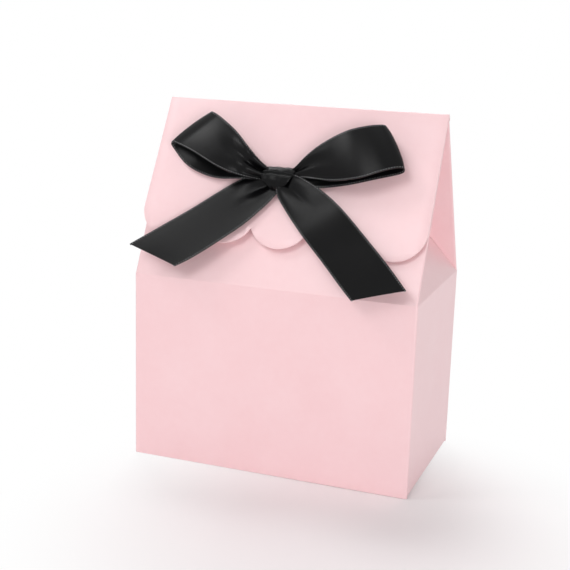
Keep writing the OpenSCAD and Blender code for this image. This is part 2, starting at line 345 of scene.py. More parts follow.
def makeBoard(name, outline, path, body, heights=(0, board), holes=(), bow=None, mitre=None, seams=()):
    # outline holds (across, along) points of the flat blank, in mm. A seam is where the blank
    # goes on in the next piece: (0, a value of across) or (1, a value of along). It isn't rounded
    blank = bmesh.new()
    blank.faces.new([blank.verts.new((a, b, 0)) for a, b in outline])
    acrossAll = [p[0] for p in outline]
    alongAll = [p[1] for p in outline]
    cutBlank(blank, Vector((0, 1, 0)), sorted(set(
        spread(min(alongAll), max(alongAll), sheet["grid"]) + foldCuts(path)
        + [edge for hole in holes for edge in (hole[2], hole[3])]
    )))
    cutBlank(blank, Vector((1, 0, 0)), sorted(set(
        spread(min(acrossAll), max(acrossAll), sheet["grid"])
        + [edge for hole in holes for edge in (hole[0], hole[1])]
    )))
    for low, high, near, far in holes:
        inside = [
            f for f in blank.faces
            if low < f.calc_center_median().x < high and near < f.calc_center_median().y < far
        ]
        bmesh.ops.delete(blank, geom=inside, context="FACES")
    bmesh.ops.triangulate(blank, faces=[f for f in blank.faces if len(f.verts) > 4])
    blank.verts.ensure_lookup_table()
    flat = [(v.co.x, v.co.y) for v in blank.verts]
    faces = [[v.index for v in f.verts] for f in blank.faces]
    blank.verts.index_update()
    rim = [e for e in blank.edges if e.is_boundary]
    rimPairs = []
    for edge in rim:
        loop = edge.link_loops[0]
        rimPairs.append((loop.vert.index, loop.link_loop_next.vert.index))
    blank.free()

    made = bmesh.new()
    layers = []
    for height in heights:
        layer = []
        for across, along in flat:
            if mitre and height == heights[1]:
                across, along = mitre(across, along)
            lift = bow(across, along) if bow else 0
            layer.append(made.verts.new(foldPoint(path, across, along, height + lift) * mm))
        layers.append(layer)
    weight = made.edges.layers.float.new("bevel_weight_edge")
    for order in faces:
        made.faces.new([layers[0][i] for i in reversed(order)]).material_index = 1
        made.faces.new([layers[1][i] for i in order]).material_index = 0
    for a, b in rimPairs:
        seam = any(
            abs(flat[a][kind] - value) < 1e-4 and abs(flat[b][kind] - value) < 1e-4
            for kind, value in seams
        )
        wall = made.faces.new([layers[1][b], layers[1][a], layers[0][a], layers[0][b]])
        wall.material_index = 2
        for edge in wall.edges:
            ends = {edge.verts[0], edge.verts[1]}
            if not seam and (ends == {layers[0][a], layers[0][b]} or ends == {layers[1][a], layers[1][b]}):
                edge[weight] = 1.0
    bmesh.ops.recalc_face_normals(made, faces=made.faces)
    mesh = bpy.data.meshes.new(name)
    made.to_mesh(mesh)
    made.free()
    piece = bpy.data.objects.new(name, mesh)
    bpy.context.scene.collection.objects.link(piece)
    for material in (pinkFace, pinkInside, pinkEdgeAndHighlight):
        mesh.materials.append(material)
    rounding = piece.modifiers.new("cutEdges", "BEVEL")
    rounding.limit_method = "WEIGHT"
    rounding.width = sheet["edgeRound"] * mm
    rounding.segments = 2
    bakeModifiers(piece)
    piece.data.shade_smooth()
    piece.data.set_sharp_from_angle(angle=math.radians(sheet["smoothUnder"]))
    if isinstance(body, str):
        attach(piece, body)
    else:
        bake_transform(piece)
    return piece


# walls

walls = {
    "top": 66.4,  # where the walls hand over to the roof and gusset pieces
    "cornerTop": 67.3,  # their corners run on between the roof's pieces
    "cornerHalf": 0.35,  # to each side of the corner
    "sideFoot": 1.9,
    "backFoot": 1.3,
    "frontFoot": 0.15,
    "cornerFoot": 0.3,
    "cornerRound": 0.3,
    "cornerReach": 0.6,  # how far the front's own foot runs past its corners
    "seamGap": 0.05,
    "tabGap": 0.03,
    "seamWidth": 10,
    "seamEnd": 3,
    "seamTaper": 1.5,
    "frontBow": 0.35,
    "sideBow": -0.3,
}


def makeWalls():
    side = 2 * innerY
    front = 2 * innerX
    lap = board + walls["tabGap"]  # the seam tab passes inside the left wall
    corners = [side, side + front, 2 * side + front, 2 * side + 2 * front - lap]
    path = {
        "origin": (-innerX, innerY, 0),
        "forward": (0, -1, 0),
        "outward": (-1, 0, 0),
        "side": upZ,
        "folds": [(place, math.pi / 2, walls["cornerRound"]) for place in corners],
    }
    reach = walls["cornerReach"]
    half = walls["cornerHalf"]
    start = -board + walls["seamGap"]
    low = [
        (start, walls["cornerFoot"]),
        (reach, walls["cornerFoot"]),
        (reach, walls["sideFoot"]),
        (corners[0] - reach, walls["sideFoot"]),
        (corners[0] - reach, walls["frontFoot"]),
        (corners[1] + reach, walls["frontFoot"]),
        (corners[1] + reach, walls["sideFoot"]),
        (corners[2] - reach, walls["sideFoot"]),
        (corners[2] - reach, walls["cornerFoot"]),
        (corners[2] + half, walls["cornerFoot"]),
        (corners[2] + half, walls["backFoot"]),
        (corners[3] - half, walls["backFoot"]),
        (corners[3] - half, walls["cornerFoot"]),
        (corners[3] + 0.3, walls["cornerFoot"]),
        (corners[3] + 0.6, walls["seamEnd"]),
        (corners[3] + walls["seamWidth"], walls["seamEnd"] + walls["seamTaper"]),
    ]
    high = [
        (corners[3] + walls["seamWidth"], walls["top"] - walls["seamEnd"] - walls["seamTaper"]),
        (corners[3] + 0.6, walls["top"] - walls["seamEnd"]),
        (corners[3] + 0.3, walls["top"]),
    ]
    for corner in (corners[2], corners[1], corners[0]):
        high += [
            (corner + half, walls["top"]),
            (corner + half, walls["cornerTop"]),
            (corner - half, walls["cornerTop"]),
            (corner - half, walls["top"]),
        ]
    high += [(half, walls["top"]), (half, walls["cornerTop"]), (start, walls["cornerTop"])]
    outline = [(z, v) for v, z in low + high]

    def bow(z, v):
        # each wall gives a little between its corners and towards its middle height
        rise = math.sin(math.pi * min(1, max(0, z / box["wallHeight"]))) ** 2
        for begin, end, amount in (
            (0, corners[0], walls["sideBow"]),
            (corners[0], corners[1], walls["frontBow"]),
            (corners[1], corners[2], walls["sideBow"]),
        ):
            if begin < v < end:
                return amount * rise * math.sin(math.pi * (v - begin) / (end - begin)) ** 2
        return 0

    piece = makeBoard(
        "wallSleeve", outline, path, "carton", bow=bow,
        seams=[
            *((0, walls[key]) for key in ("top", "cornerTop", "sideFoot", "backFoot")),
            *((1, corner + way * half) for corner in (0, *corners) for way in (-1, 1)),
        ],
    )
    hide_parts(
        "front_panel", "back_panel", "left_side_panel", "right_side_panel", "glue_seam_tab"
    )


makeWalls()
print("walls folded")


# roof

roof = {
    "strip": box["wallHeight"] - walls["top"],
    "stripEnd": 0.35,  # the strip stops this far inside the walls' corners
    "edgeSeam": 0.4,  # the half gussets take over this far in from the roof's edges
    "creaseRound": 0.3,
    "backTop": 3.0,  # the back slope hands over to the flap this far below the ridge
    "bow": 0.35,
}


def slopeOutline(top):
    half = innerX - roof["edgeSeam"]
    strip = innerX - roof["stripEnd"]
    return [
        (-strip, -roof["strip"]), (strip, -roof["strip"]), (strip, 0.05),
        (half, 0.3), (half, top), (-half, top), (-half, 0.3), (-strip, 0.05),
    ]


def slopePath(sign):
    return {
        "origin": (0, sign * innerY, box["wallHeight"]),
        "forward": (0, 0, 1),
        "outward": (0, sign, 0),
        "side": acrossX,
        "folds": [(0, roofLean, roof["creaseRound"])],
    }


def slopeBow(top):
    def bow(across, along):
        rise = math.sin(math.pi * min(1, max(0, along / top))) ** 2
        return roof["bow"] * rise * math.cos(math.pi / 2 * min(1, abs(across) / innerX)) ** 2
    return bow


def makeSlopes():
    half = innerX - roof["edgeSeam"]
    frontTop = roofLength - box["frontDrop"]
    backTop = roofLength + box["ridgeLap"] - roof["backTop"]
    strip = innerX - roof["stripEnd"]
    sideSeams = [(0, half), (0, -half), (0, strip), (0, -strip)]
    front = makeBoard(
        "frontSlope", slopeOutline(frontTop), slopePath(-1), ("carton", "front_roof"),
        bow=slopeBow(frontTop), seams=[(1, -roof["strip"]), *sideSeams],
    )
    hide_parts("front_roof_panel")
    back = makeBoard(
        "backSlope", slopeOutline(backTop), slopePath(1), ("carton", "back_roof"),
        bow=slopeBow(backTop),
        seams=[(1, -roof["strip"]), (1, backTop), *sideSeams],
    )
    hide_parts("back_roof_panel")


makeSlopes()
print("roof slopes folded")


# gussets

gusset = {
    "creaseGap": 0.08,  # from each panel to its diagonal crease
    "faceSetback": 0.45,  # the outer faces stop this much further back, as a mitre
    "topTrim": 1.2,
    "tipTrim": 1.4,
    "pinch": 0.02,  # radius inside a tight fold
    "triangleBow": -0.25,
}


def makeTriangle(name, sign, node, body):
    path = {
        "origin": (sign * innerX, 0, box["wallHeight"]),
        "forward": (0, 0, 1),
        "outward": (sign, 0, 0),
        "side": (0, 1, 0),
        "folds": [(0, triangleLean, roof["creaseRound"])],
    }
    slant = math.tan(crease)
    base = innerY - gusset["creaseGap"] / math.sin(crease)
    top = base * slant - gusset["tipTrim"]
    tip = gusset["tipTrim"] / slant
    strip = innerY - roof["stripEnd"]
    outline = [
        (-strip, -roof["strip"]), (strip, -roof["strip"]), (strip, 0),
        (base - 0.3, 0.3 * slant), (tip, top), (-tip, top),
        (-base + 0.3, 0.3 * slant), (-strip, 0),
    ]

    def mitre(across, along):
        # the outer face steps back from the diagonal creases
        reachOut = (base - abs(across)) * math.sin(crease) - along * math.cos(crease)
        if along > 0.2 and reachOut < gusset["faceSetback"]:
            back = gusset["faceSetback"] - reachOut
            across -= math.copysign(min(abs(across), back * math.sin(crease)), across)
            along -= back * math.cos(crease)
        return across, along

    def bow(across, along):
        rise = math.sin(math.pi * min(1, max(0, along / top)))
        return gusset["triangleBow"] * rise * math.cos(math.pi / 2 * min(1, abs(across) / innerY))

    piece = makeBoard(
        name, outline, path, ("carton", body), mitre=mitre, bow=bow,
        seams=[(1, -roof["strip"]), (0, strip), (0, -strip)],
    )
    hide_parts(node)


def makeHalfGusset(name, sign, facing, node, bodies, top):
    # sign is the side of the box, facing is 1 at the back and -1 at the front
    up = Vector((0, -facing * math.sin(roofLean), math.cos(roofLean)))
    outward = Vector((0, facing * math.cos(roofLean), math.sin(roofLean)))
    path = {
        "origin": (sign * innerX, facing * innerY, box["wallHeight"]),
        "forward": (sign, 0, 0),
        "outward": outward,
        "side": up,
        "folds": [(0, math.pi - halfTurn, gusset["pinch"])],
    }
    # the free edge runs from the top of the slope towards the apex of the middle triangle
    fall = (roofLength - apexHeight) / innerY
    gap = gusset["creaseGap"] / math.cos(crease)
    slant = math.tan(crease)
    freeEdge = roofLength - gusset["topTrim"] / math.cos(math.atan(fall))
    tip = (freeEdge - gap) / (slant + fall)
    tipIn = tip - gusset["tipTrim"]
    outline = [
        (0.1, -roof["edgeSeam"]), (0.1, 0.0), (0.1 + gap, 0.03),
        (gap + tipIn * slant, tipIn), (min(top, freeEdge - tipIn * fall), tipIn),
    ]
    if top < freeEdge:
        outline.append((top, (freeEdge - top) / fall))
        outline += [(top, 0.0), (top, -roof["edgeSeam"])]
    else:
        outline += [(freeEdge, 0.0), (freeEdge, -roof["edgeSeam"])]

    def mitre(across, along):
        # across is up the slope's edge here, and along is away from it
        reachOut = (across - gap) * math.cos(crease) - along * math.sin(crease)
        if along > 0.2 and reachOut < gusset["faceSetback"]:
            back = gusset["faceSetback"] - reachOut
            across += back * math.cos(crease)
            along -= min(along - 0.1, back * math.sin(crease))
        return across, along

    piece = makeBoard(name, outline, path, bodies, mitre=mitre, seams=[(1, -roof["edgeSeam"])])
    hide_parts(node)


for sideName, sign in (("left", -1), ("right", 1)):
    makeTriangle(sideName + "GussetTriangle", sign, sideName + "_gusset_triangle", sideName + "_gusset")
    makeHalfGusset(
        sideName + "BackHalfGusset", sign, 1, sideName + "_back_half_gusset",
        ("back_roof", sideName + "_back_half"), roofLength,
    )
    makeHalfGusset(
        sideName + "FrontHalfGusset", sign, -1, sideName + "_front_half_gusset",
        ("front_roof", sideName + "_front_half"), roofLength - box["frontDrop"],
    )
print("gussets folded")


# closing flap

flap = {
    "length": 53.5,
    "scallops": 5,
    "scallopRadius": 11.1,
    "ridgeRound": 0.62,  # outside radius of the bend at the ridge
    "twist": 1.1,  # how much further the lower left corner stands off than the right one
    "belly": 0.5,
    "knotX": -3.8,
    "slotSpread": 6.2,
    "slotMiddle": 28.2,
    "slotLength": 6.5,
    "slotWidth": 2,
}


def flapOutline():
    radius = flap["scallopRadius"]
    count = flap["scallops"]
    half = box["width"] / 2
    pitch = (box["width"] - 2 * radius) / (count - 1)
    middle = flap["length"] - radius
    cusp = math.acos(pitch / 2 / radius)
    points = [(-half, -roof["backTop"]), (-half, middle)]
    for i in range(count):
        centre = -half + radius + pitch * i
        first = math.pi if i == 0 else math.pi - cusp
        last = 0 if i == count - 1 else cusp
        steps = round((first - last) / math.radians(6))
        for k in range(1, steps + 1):
            angle = first + (last - first) * k / steps
            points.append((centre + radius * math.cos(angle), middle + radius * math.sin(angle)))
    points.append((half, -roof["backTop"]))
    return points


def makeFlap():
    path = {
        "origin": (0, ridgeY, ridgeZ),
        "forward": (0, -math.sin(roofLean), math.cos(roofLean)),
        "outward": (0, math.cos(roofLean), math.sin(roofLean)),
        "side": acrossX,
        "folds": [(0, math.pi - roofLean - flapLean, flap["ridgeRound"])],
    }
    holes = []
    for sign in (-1, 1):
        middle = flap["knotX"] + sign * flap["slotSpread"]
        holes.append((
            middle - flap["slotWidth"] / 2, middle + flap["slotWidth"] / 2,
            flap["slotMiddle"] - flap["slotLength"] / 2, flap["slotMiddle"] + flap["slotLength"] / 2,
        ))

    def bow(across, along):
        share = max(0, along) / flap["length"]
        return (
            -flap["twist"] * across / innerX * share**1.6
            + flap["belly"] * math.sin(math.pi * min(1, share)) * (1 - (across / innerX) ** 2)
        )

    piece = makeBoard(
        "scallopedFlap", flapOutline(), path, ("back_roof", "flap"), heights=(-board, 0),
        holes=holes, bow=bow, seams=[(1, -roof["backTop"])],
    )
    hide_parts("closure_flap")


makeFlap()
print("flap folded")


# base

base = {
    "sideClearance": 0.4,
    "tuckLength": 12,
    "tuckLean": 6,  # degrees
    "tuckSideGap": 1.5,
    "tuckCorner": 5,
    "tuckGap": 0.2,  # the tab's crease stands this far inside the front wall
    "handOver": 0.4,  # the bottom hands over to the tab this far before their crease
    "dustHeight": 1.2,
    "dustLength": 26,
    "dustTaper": 5,
    "dustFrontGap": 2.5,
    "dustEnd": 0.65,  # the dust flaps' creases stop this far inside the corners
    "creaseRound": 0.05,
}


def makeBase():
    half = innerX - base["sideClearance"]
    tuckY = innerY - board - base["tuckGap"]
    reach = innerY + tuckY - base["handOver"]
    stripBack = walls["backFoot"] - board
    bottom = makeBoard(
        "bottomBoard",
        [(-half, -stripBack), (half, -stripBack), (half, reach), (-half, reach)],
        {
            "origin": (0, innerY, board), "forward": (0, 0, -1), "outward": (0, 1, 0),
            "side": acrossX, "folds": [(0, math.pi / 2, base["creaseRound"])],
        },
        ("carton", "bottom"), seams=[(1, -stripBack), (1, reach)],
    )
    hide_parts("bottom_panel")

    tuckHalf = innerX - base["tuckSideGap"]
    corner = base["tuckCorner"]
    tuck = makeBoard(
        "tuckTab",
        [
            (-tuckHalf, -base["handOver"]), (tuckHalf, -base["handOver"]),
            (tuckHalf, base["tuckLength"] - corner), (tuckHalf - corner, base["tuckLength"]),
            (-tuckHalf + corner, base["tuckLength"]), (-tuckHalf, base["tuckLength"] - corner),
        ],
        {
            "origin": (0, -tuckY, board), "forward": (0, -1, 0), "outward": (0, 0, -1),
            "side": acrossX,
            "folds": [(0, math.pi / 2 + math.radians(base["tuckLean"]), base["creaseRound"])],
        },
        ("bottom", "tuck_tab"), seams=[(1, -base["handOver"])],
    )
    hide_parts("tuck_tab")

    for sideName, sign in (("left", -1), ("right", 1)):
        strip = walls["sideFoot"] - base["dustHeight"]
        back = innerY - board
        front = -tuckY + base["dustFrontGap"]
        end = innerY - base["dustEnd"]
        dust = makeBoard(
            sideName + "DustFlap",
            [
                (-end, -strip), (end, -strip), (end, -0.2), (back, 0.3),
                (back - base["dustLength"], base["dustLength"]),
                (front + base["dustTaper"], base["dustLength"]), (front, 0.3), (-end, -0.2),
            ],
            {
                "origin": (sign * innerX, 0, base["dustHeight"]), "forward": (0, 0, -1),
                "outward": (sign, 0, 0), "side": (0, 1, 0),
                "folds": [(0, math.pi / 2, base["creaseRound"])],
            },
            ("carton", sideName + "_dust_flap"), seams=[(1, -strip)],
        )
        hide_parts(sideName + "_dust_flap")


makeBase()
print("base folded")


# ribbon bow


def onFlap(x, down, lift):
    # mm across the flap, down it from the ridge, and off its outer face
    forward = Vector((0, -math.sin(flapLean), -math.cos(flapLean)))
    outward = Vector((0, -math.cos(flapLean), math.sin(flapLean)))
    return Vector((x, ridgeY, ridgeZ)) + forward * down + outward * lift


ribbon = {
    "width": 16,
    "thickness": 0.3,
    "stepsEach": 9,  # rows of faces between two pairs of edge points
    "acrossSteps": 28,
    "foldRound": 0.9,  # how far the corners of a fold are drawn in
    "pleatEnd": 24,  # the pleats have run out this far from the knot
}

# Each strand is given by pairs of edge points, (x, down the flap, lift) in mm, from the knot
# outwards. A loop's pairs go out along the front strand, round the fold and back behind it.
# Gather is the share of the spare width that goes into visible pleats. A crease is (share of the
# width at the knot, share at its end, depth, width as a share, length). A strand's own length is
# the run along the middle of the ribbon as laid here.
strands = {
    "leftLoop": {
        "pairs": [
            ((-4.6, 27.6, 4.4), (-5.2, 31.0, 4.4)),
            ((-8.0, 26.0, 6.6), (-9.2, 31.8, 6.4)),
            ((-12.2, 22.6, 9.9), (-15.0, 32.0, 9.6)),
            ((-18.6, 16.4, 9.7), (-23.0, 29.8, 10.1)),
            ((-25.6, 11.4, 9.0), (-33.2, 24.9, 9.4)),
            ((-29.6, 9.1, 7.9), (-40.0, 22.1, 8.3)),
            ((-31.2, 8.4, 6.4), (-43.6, 20.9, 6.7)),
            ((-30.4, 9.0, 4.9), (-42.9, 22.6, 4.9)),
            ((-25.0, 12.5, 3.5), (-36.6, 28.0, 3.1)),
            ((-17.0, 19.0, 2.9), (-26.5, 31.1, 2.7)),
            ((-10.5, 24.5, 3.2), (-15.5, 30.8, 3.0)),
            ((-5.0, 28.0, 3.6), (-6.0, 30.5, 3.4)),
        ],
        "pleats": 2,
        "gather": 0.9,
        "belly": 0.5,
        "creases": ((0.34, 0.46, 1.1, 0.075, 15), (0.75, 0.86, 0.7, 0.07, 12)),
        "length": 75,
        "held": "gathered",
        "node": "ribbon_left_loop",
    },
    "rightLoop": {
        "pairs": [
            ((-1.0, 27.6, 4.4), (-1.4, 30.0, 4.4)),
            ((3.0, 26.5, 5.4), (3.6, 29.6, 5.4)),
            ((6.8, 22.0, 6.6), (10.2, 30.0, 6.6)),
            ((12.4, 17.5, 8.2), (18.3, 30.8, 8.3)),
            ((20.0, 13.4, 9.8), (27.5, 29.7, 10.1)),
            ((26.4, 11.2, 9.8), (34.2, 27.0, 10.2)),
            ((30.4, 10.0, 8.8), (38.8, 25.0, 9.3)),
            ((32.2, 9.4, 7.4), (41.1, 24.2, 7.9)),
            ((32.4, 9.4, 6.0), (41.3, 24.1, 6.3)),
            ((30.4, 10.2, 4.6), (39.4, 25.0, 4.6)),
            ((24.0, 13.6, 3.3), (31.3, 26.9, 3.1)),
            ((14.0, 19.2, 2.9), (20.6, 30.0, 2.7)),
            ((6.0, 25.0, 3.1), (9.4, 32.0, 2.9)),
            ((0.0, 27.8, 3.6), (0.0, 30.6, 3.4)),
        ],
        "pleats": 2,
        "gather": 0.9,
        "belly": 0.5,
        "creases": ((0.45, 0.55, 0.7, 0.08, 14),),
        "length": 83,
        "held": "gathered",
        "node": "ribbon_right_loop",
    },
    "leftTail": {
        "pairs": [
            ((-5.0, 28.8, 2.4), (-1.6, 32.0, 2.4)),
            ((-9.5, 28.6, 2.4), (-2.8, 35.3, 2.3)),
            ((-15.5, 30.4, 2.5), (-6.0, 39.9, 2.3)),
            ((-22.0, 35.1, 2.7), (-11.7, 46.8, 2.7)),
            ((-31.7, 43.4, 3.3), (-19.5, 54.4, 3.5)),
            ((-42.0, 51.7, 4.1), (-27.1, 61.1, 4.2)),
            ((-51.0, 58.9, 4.8), (-32.3, 64.8, 4.6)),
        ],
        "pleats": 1.5,
        "gather": 0.45,
        "belly": 0.25,
        "creases": ((0.5, 0.42, 0.7, 0.12, 18),),
        "length": 50,
        "held": "hung",
        "node": "ribbon_left_tail",
    },
    "rightTail": {
        "pairs": [
            ((-2.2, 31.0, 4.0), (1.0, 28.4, 4.9)),
            ((-1.6, 35.6, 4.6), (5.4, 29.1, 5.8)),
            ((2.9, 41.6, 4.0), (13.4, 32.8, 4.8)),
            ((9.9, 49.2, 2.9), (21.5, 38.3, 3.4)),
            ((18.5, 57.4, 3.3), (32.4, 48.2, 3.7)),
            ((26.2, 65.0, 4.1), (41.0, 56.4, 4.1)),
            ((31.1, 69.6, 4.8), (48.5, 64.2, 4.9)),
        ],
        "pleats": 1.5,
        "gather": 0.35,
        "belly": 0.3,
        "creases": ((0.45, 0.55, 0.6, 0.07, 20),),
        "length": 55,
        "held": "hung",
        "node": "ribbon_right_tail",
    },
}


knot = {
    # x of the band's left and right edges, from its top over the front to its foot
    "lefts": (-6.9, -7.5, -8.0, -7.2, -4.8),
    "rights": (4.0, 3.7, 3.1, 2.0, 0.2),
    "middle": 30.0,
    "lift": 3.6,
    "halfLength": 4.0,
    "halfHeight": 3.7,
    "groovePlace": 1.28,  # radians from the band's top over its front, at its left edge
    "grooveSlant": 0.14,
    "grooveWidth": 0.13,
    "grooveDepth": 0.8,
    "edgeRoll": 0.45,
    "footDrop": 0.5,  # the band's foot lies this much nearer the flap than its top
    "facets": ((-0.36, 0.34), (0.36, 0.32)),  # flats above and below the groove, in radians
    "pleats": 3,
    "pleatDepth": 0.07,
    "around": 96,
    "acrossSteps": 30,
}


def smoothLine(points, steps):
    # a curve through the points, with the same number of steps from each to the next
    points = [np.array(p, float) for p in points]
    ends = [2 * points[0] - points[1], *points, 2 * points[-1] - points[-2]]
    line = []
    for i in range(1, len(ends) - 2):
        before, here, there, after = ends[i - 1:i + 3]
        for k in range(steps):
            t = k / steps
            line.append(0.5 * (
                2 * here + (there - before) * t
                + (2 * before - 5 * here + 4 * there - after) * t**2
                + (3 * here - before - 3 * there + after) * t**3
            ))
    line.append(points[-1])
    return np.array(line)


def gridNormals(grid, closed=False):
    along = np.gradient(grid, axis=0)
    if closed:
        along = np.roll(grid, -1, axis=0) - np.roll(grid, 1, axis=0)
    across = np.gradient(grid, axis=1)
    normals = np.cross(along, across)
    return normals / np.linalg.norm(normals, axis=2, keepdims=True)


def makeCloth(name, grid, closed=False):
    # grid is rows of points in metres; the cloth gets its thickness and a weave map in mm
    rows, columns = grid.shape[:2]
    mesh = bpy.data.meshes.new(name)
    faces = []
    for i in range(rows if closed else rows - 1):
        for j in range(columns - 1):
            after = (i + 1) % rows
            faces.append((i * columns + j, after * columns + j, after * columns + j + 1, i * columns + j + 1))
    mesh.from_pydata(grid.reshape(-1, 3).tolist(), [], faces)
    steps = np.linalg.norm(np.diff(grid.mean(axis=1), axis=0), axis=1) / mm
    run = np.concatenate([[0], np.cumsum(steps)])
    weave = mesh.uv_layers.new(name="weave")
    for polygon in mesh.polygons:
        row = polygon.index // (columns - 1)
        for loop in polygon.loop_indices:
            vertex = mesh.loops[loop].vertex_index
            i, j = divmod(vertex, columns)
            distance = run[i] if i >= row else run[-1]
            weave.data[loop].uv = (ribbon["width"] * j / (columns - 1), distance)
    piece = bpy.data.objects.new(name, mesh)
    bpy.context.scene.collection.objects.link(piece)
    mesh.materials.append(blackSatin)
    thick = piece.modifiers.new("clothThickness", "SOLIDIFY")
    thick.thickness = ribbon["thickness"] * mm
    thick.offset = 0
    thick.use_even_offset = True
    bakeModifiers(piece)
    made = bmesh.new()
    made.from_mesh(piece.data)
    bmesh.ops.recalc_face_normals(made, faces=made.faces)
    made.to_mesh(piece.data)
    made.free()
    piece.data.shade_smooth()
    piece.data.set_sharp_from_angle(angle=math.radians(60))
    return piece


picot = {
    "spacing": 0.9,
    "inset": 0.42,  # from the ribbon's edge to the row of loops
    "length": 0.25,
    "radius": 0.33,
    "jitter": (0.92, 1.08),
    "seed": 7,
}

edgeLines = []  # filled by makeStrand, in metres


def makeStrand(name, strand):
    first = smoothLine([pair[0] for pair in strand["pairs"]], ribbon["stepsEach"])
    second = smoothLine([pair[1] for pair in strand["pairs"]], ribbon["stepsEach"])
    share = np.linspace(0, 1, ribbon["acrossSteps"] + 1)
    grid = first[:, None, :] * (1 - share[None, :, None]) + second[:, None, :] * share[None, :, None]
    normals = gridNormals(grid)
    if normals[len(grid) // 4, ribbon["acrossSteps"] // 2, 2] < 0:
        normals = -normals
    width = np.linalg.norm(second - first, axis=1)
    pleats = strand["pleats"]
    spare = np.sqrt(np.maximum(0, ribbon["width"] / width - 1))
    fromKnot = np.linalg.norm((first + second)[:, :2] / 2 - [flap["knotX"], knot["middle"]], axis=1)
    near = np.clip((ribbon["pleatEnd"] - fromKnot) / ribbon["pleatEnd"], 0, 1)
    depth = strand["gather"] * width / (math.pi * pleats) * spare * near * near * (3 - 2 * near)
    wave = np.sin(2 * math.pi * pleats * share) * (0.75 + 0.35 * np.cos(2.3 * share + 0.6))
    belly = strand["belly"] * 4 * share * (1 - share)
    full = np.clip(width / ribbon["width"], 0, 1) ** 2
    grid = grid + normals * (depth[:, None, None] * wave[None, :, None])
    grid = grid + normals * (full[:, None, None] * belly[None, :, None])
    # the corners of the fold are drawn in a little
    sideways = (1 - np.abs(normals[:, :, 2])) ** 2
    corner = np.abs(2 * share - 1) ** 6
    grid = grid - normals * (ribbon["foldRound"] * sideways * corner[None, :])[:, :, None]
    for nearShare, farShare, deep, wide, reach in strand["creases"]:
        run = np.clip(fromKnot / reach, 0, 1)
        centre = nearShare + (farShare - nearShare) * run
        fade = deep * (1 - run) ** 2 * (1 + 2 * run)
        if strand["held"] == "gathered":
            fade[len(fade) // 2:] = 0
        valley = np.exp(-(((share[None, :] - centre[:, None]) / wide) ** 2))
        grid = grid - normals * (fade[:, None] * valley)[:, :, None]
    world = np.array([[onFlap(*point) * mm for point in row] for row in grid])
    for edge, inner in ((0, 1), (-1, -2)):
        inward = world[:, inner] - world[:, edge]
        inward /= np.linalg.norm(inward, axis=1, keepdims=True)
        edgeLines.append(world[:, edge] + inward * picot["inset"] * mm)
    piece = makeCloth(name, world)
    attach(piece, "flap")
    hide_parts(strand["node"])
    return piece


for strandName, strand in strands.items():
    makeStrand(strandName, strand)
print("loops and tails laid")


def makeKnot():
    # a gathered band wrapped once round the middle of the bow
    rows = []
    stops = np.linspace(-1, 1, len(knot["lefts"]))
    for i in range(knot["around"]):
        turn = 2 * math.pi * i / knot["around"]
        down = -math.cos(turn)
        out = math.sin(turn)
        low = np.interp(down, stops, knot["lefts"])
        high = np.interp(down, stops, knot["rights"])
        row = []
        for j in range(knot["acrossSteps"] + 1):
            share = j / knot["acrossSteps"]
            crossing = knot["groovePlace"] + knot["grooveSlant"] * share
            groove = math.exp(-(((turn - crossing) / knot["grooveWidth"]) ** 2))
            pleat = knot["pleatDepth"] * math.sin(2 * math.pi * knot["pleats"] * share + 1.5 * math.sin(turn))
            roll = knot["edgeRoll"] * abs(2 * share - 1) ** 6
            size = 1 + (pleat - knot["grooveDepth"] * groove - roll) / knot["halfLength"]
            for facet, half in knot["facets"]:
                away = min(half, abs(turn - crossing - facet))
                size *= math.cos(half) / math.cos(away)
            row.append(onFlap(
                low + (high - low) * share,
                knot["middle"] + knot["halfLength"] * down * size,
                knot["lift"] - knot["footDrop"] * (down + 1) / 2 + knot["halfHeight"] * out * size,
            ) * mm)
        rows.append(row)
    piece = makeCloth("knotWrap", np.array(rows), closed=True)
    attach(piece, "flap")
    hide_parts("ribbon_knot")
    return piece


makeKnot()
print("knot wrapped")


rear = {
    "halfWidth": 2.3,
    "drop": 0.8,  # its middle lies this far below the middle of the slots
    "reach": 3.2,  # its ends go this far past the slots, under the knot
    "tuckDrop": 0.9,  # there they lie this much lower
    "tuckNarrow": 0.35,  # and are this share narrower
    "behind": -0.85,  # between the bowed flap and the front slope
    "lip": 1.15,
    "layer": 0.42,  # the ribbon is folded lengthways into three layers this far apart
    "steps": 6,
}


